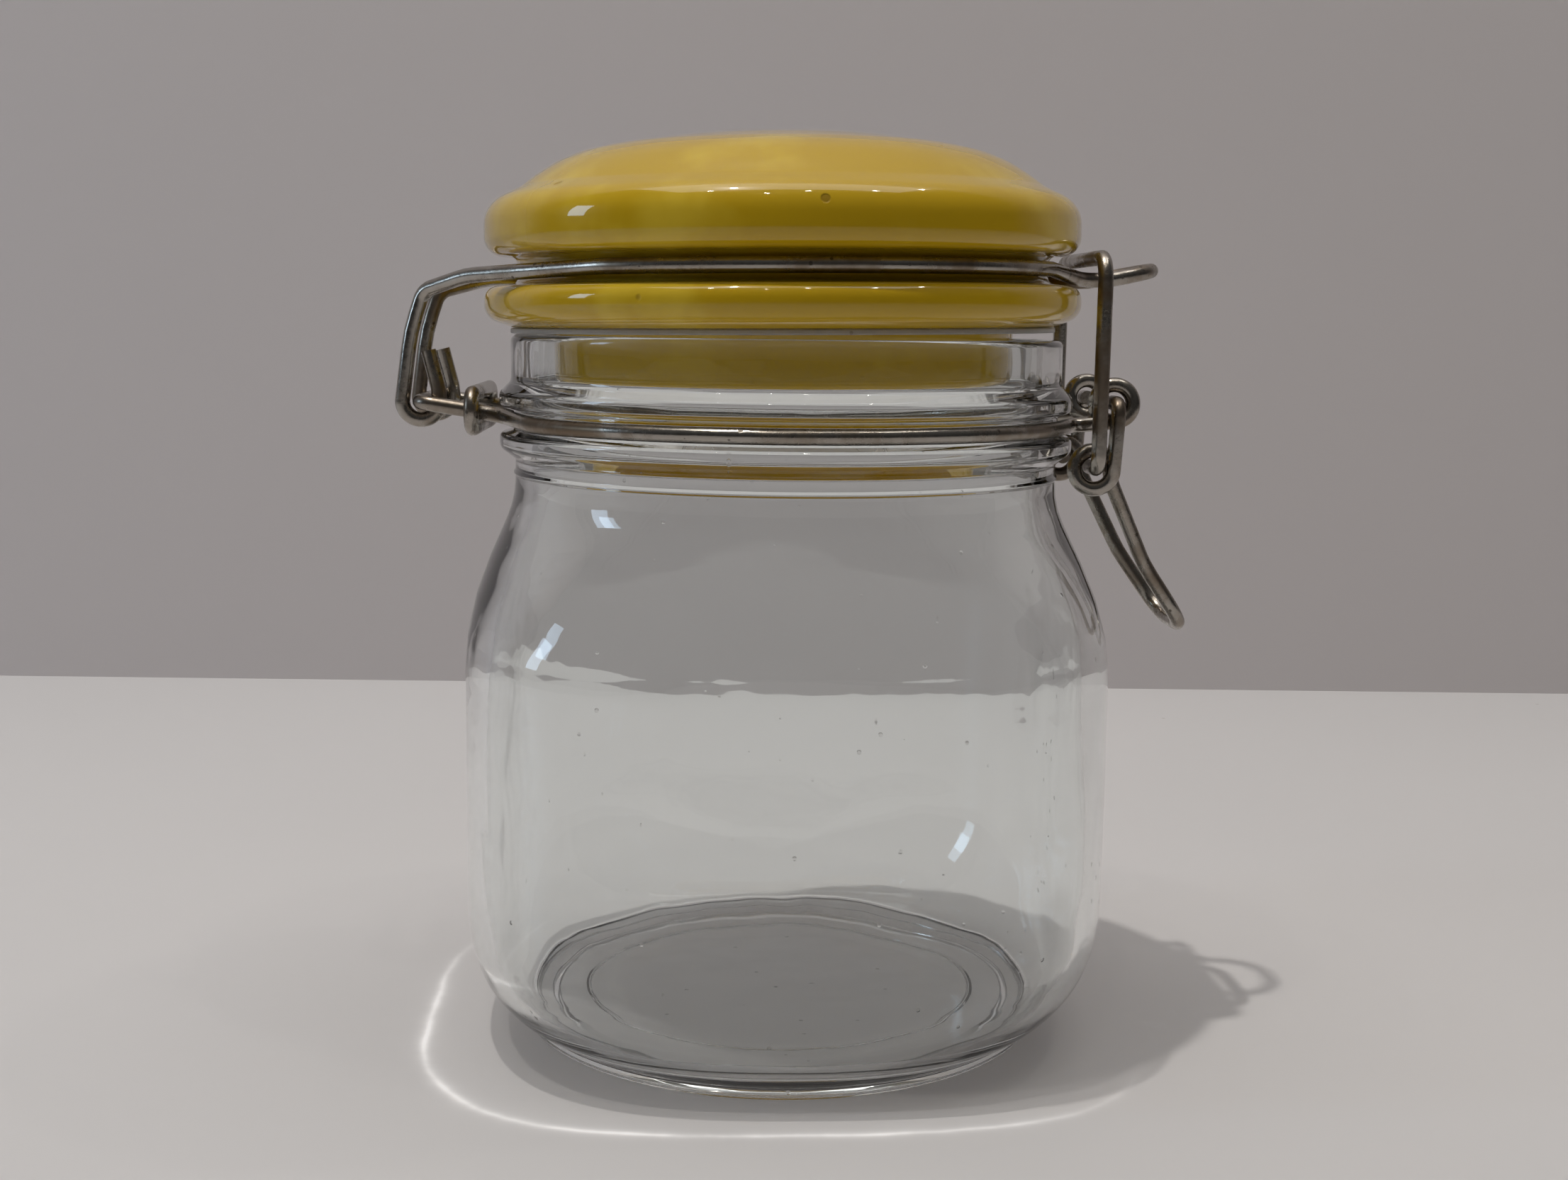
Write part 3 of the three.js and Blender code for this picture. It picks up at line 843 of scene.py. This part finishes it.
class JAR_OT_latch(bpy.types.Operator):
    """Make the latch link and the lever"""

    bl_idname = "jar.latch"
    bl_label = "Latch Link and Lever"

    def execute(self, context):
        sizes = context.scene.wire_sizes
        bar_z = BAIL_Z - 1 + WIRE + CLAMP_GAP
        link = mirrored([
            corner(LINK_PIN.x + 0.2, 0, bar_z),
            corner(LINK_PIN.x + 0.2, LINK_SPREAD, bar_z, 4),
            corner(LINK_PIN.x, LINK_SPREAD, LINK_PIN.z, 2.4),
            corner(LINK_PIN.x, EYE_SPREAD - WIRE / 2, LINK_PIN.z),
        ])
        piece = wire_piece("latch_link_fine", link, 4.0, sizes, wire_finish(context))
        place(piece, "link", "steel_wire", "latch_link")

        coil_z = LINK_PIN.z - COIL_SLACK / 2
        inner = LEVER_SPREAD - WIRE - 0.15
        handle = Vector((14.1, 0, 38.5))
        lever = mirrored([
            corner(PIVOT.x + handle.x, 0, PIVOT.z - handle.z),
            corner(PIVOT.x + handle.x, 8.4, PIVOT.z - handle.z, 6),
            corner(PIVOT.x + 0.45 * handle.x, 10.0, PIVOT.z - 0.71 * handle.z, 25),
            corner(LINK_PIN.x + WIRE + COIL_SLACK + 0.2, inner, coil_z - 2, 8),
            *upright_loop(LINK_PIN.x, coil_z, WIRE + COIL_SLACK, 0, 360, inner, LEVER_SPREAD),
            corner(PIVOT.x, LEVER_SPREAD, PIVOT.z, 2.2),
            corner(PIVOT.x, EYE_SPREAD - WIRE, PIVOT.z),
        ])
        piece = wire_piece("lever_fine", lever, 5.0, sizes, wire_finish(context))
        place(piece, "lever", "steel_wire", "lever")
        return {"FINISHED"}


# ---------------------------------------------------------------- stage

def board(name, corners, material):
    data = bpy.data.meshes.new(name)
    data.from_pydata([tuple(p) for p in corners], [], [(0, 1, 2, 3)])
    data.materials.append(material)
    piece = bpy.data.objects.new(name, data)
    bpy.context.scene.collection.objects.link(piece)
    return piece


def area_light(name, position, target, size, power, colour):
    light = bpy.data.lights.new(name, "AREA")
    light.shape = "RECTANGLE"
    light.size, light.size_y = size
    light.energy = power
    light.color = colour
    lamp = bpy.data.objects.new(name, light)
    lamp.location = position
    lamp.rotation_euler = (Vector(target) - Vector(position)).to_track_quat("-Z", "Y").to_euler()
    bpy.context.scene.collection.objects.link(lamp)
    return lamp


def room(fill):
    """Soft light from all round, brighter from above."""
    world = bpy.data.worlds.new("Room")
    world.use_nodes = True
    nodes, links = world.node_tree.nodes, world.node_tree.links
    way = nodes.new("ShaderNodeTexCoord")
    height = nodes.new("ShaderNodeSeparateXYZ")
    shade = nodes.new("ShaderNodeValToRGB")
    links.new(way.outputs["Generated"], height.inputs[0])
    links.new(height.outputs["Z"], shade.inputs[0])
    links.new(shade.outputs[0], nodes["Background"].inputs["Color"])
    for element, position, grey in zip(shade.color_ramp.elements, (0.1, 0.8), (0.25, 1.0)):
        element.position = position
        element.color = (grey, grey, grey, 1)
    nodes["Background"].inputs["Strength"].default_value = fill
    return world


def viewer(ahead, right):
    """The camera, looking ahead and a little down."""
    camera = bpy.data.cameras.new("camera")
    camera.sensor_width = 36
    camera.lens = CAMERA_LENS
    camera.clip_start = 0.01
    forward = ahead * math.cos(CAMERA_PITCH) - Vector((0, 0, math.sin(CAMERA_PITCH)))
    level_up = right.cross(forward)
    side = right * math.cos(CAMERA_ROLL) + level_up * math.sin(CAMERA_ROLL)
    above = level_up * math.cos(CAMERA_ROLL) - right * math.sin(CAMERA_ROLL)
    turn = Matrix((side, above, -forward)).transposed()
    piece = bpy.data.objects.new("camera", camera)
    piece.matrix_world = Matrix.Translation(CAMERA_PLACE) @ turn.to_4x4()
    bpy.context.scene.collection.objects.link(piece)
    return piece


class JAR_OT_stage(bpy.types.Operator):
    """Make the table, the wall, the lights and the camera"""

    bl_idname = "jar.stage"
    bl_label = "Table, Lights and Camera"

    def execute(self, context):
        colours = context.scene.jar_colours
        sizes = context.scene.stage_sizes
        ahead = Vector((math.sin(CAMERA_HEADING), math.cos(CAMERA_HEADING), 0))
        right = Vector((math.cos(CAMERA_HEADING), -math.sin(CAMERA_HEADING), 0))
        wall = ahead * sizes.wall_distance
        left_foot, right_foot = wall - right * TABLE_HALF_WIDTH, wall + right * TABLE_HALF_WIDTH
        front, up = ahead * -TABLE_LENGTH, Vector((0, 0, WALL_HEIGHT))
        table = [left_foot + front, right_foot + front, right_foot, left_foot]
        board("table_top", table, table_top(colours))
        board("back_wall", [left_foot, right_foot, right_foot + up, left_foot + up], back_wall(colours))

        middle = Vector((0, 0, 0.06))
        key_place = middle + KEY_WAY * KEY_DISTANCE
        area_light("key_lamp", key_place, middle, (0.045, 0.045), sizes.key, (1.0, 0.96, 0.90))
        soft = (1.0, 0.98, 0.96)
        area_light("ceiling", (0.0, 0.15, 1.5), (0, 0.05, 0), (1.5, 1.0), sizes.ceiling, soft)
        sky = (0.62, 0.80, 1.0)
        area_light("window", (-1.05, -0.12, 0.40), middle, (0.16, 0.36), sizes.window, sky)
        for x, y in SMALL_LAMPS:
            lamp_place = (x, y, SMALL_LAMP_HEIGHT)
            area_light("small_lamp", lamp_place, middle, (0.03, 0.03), sizes.lamps, (1.0, 0.95, 0.86))

        context.scene.world = room(sizes.fill)
        context.scene.camera = viewer(ahead, right)
        context.scene.view_settings.view_transform = "Standard"
        return {"FINISHED"}


class JAR_PT_panel(bpy.types.Panel):
    """Sizes, colours and pieces of the jar"""

    bl_idname = "JAR_PT_panel"
    bl_label = "Clamp-Top Jar"
    bl_space_type = "VIEW_3D"
    bl_region_type = "UI"
    bl_category = "Jar"

    def draw(self, context):
        layout = self.layout
        for group_name in PROPERTY_GROUPS:
            group = getattr(context.scene, group_name)
            box = layout.box()
            for key in group.__annotations__:
                box.prop(group, key)
        for operator in OPERATORS:
            layout.operator(operator.bl_idname)


PROPERTY_GROUPS = {
    "jar_sizes": JarSizes,
    "wire_sizes": WireSizes,
    "jar_colours": JarColours,
    "stage_sizes": StageSizes,
}
OPERATORS = (
    JAR_OT_stage,
    JAR_OT_glass,
    JAR_OT_lid,
    JAR_OT_gasket,
    JAR_OT_neck_wires,
    JAR_OT_bail,
    JAR_OT_latch,
)


def register():
    for group_name, group in PROPERTY_GROUPS.items():
        bpy.utils.register_class(group)
        setattr(bpy.types.Scene, group_name, PointerProperty(type=group))
    for cls in (*OPERATORS, JAR_PT_panel):
        bpy.utils.register_class(cls)


def unregister():
    for cls in (JAR_PT_panel, *reversed(OPERATORS)):
        bpy.utils.unregister_class(cls)
    for group_name, group in reversed(PROPERTY_GROUPS.items()):
        delattr(bpy.types.Scene, group_name)
        bpy.utils.unregister_class(group)


def main():
    register()
    for operator in OPERATORS:
        family, action = operator.bl_idname.split(".")
        getattr(getattr(bpy.ops, family), action)()


if __name__ == "__main__":
    main()
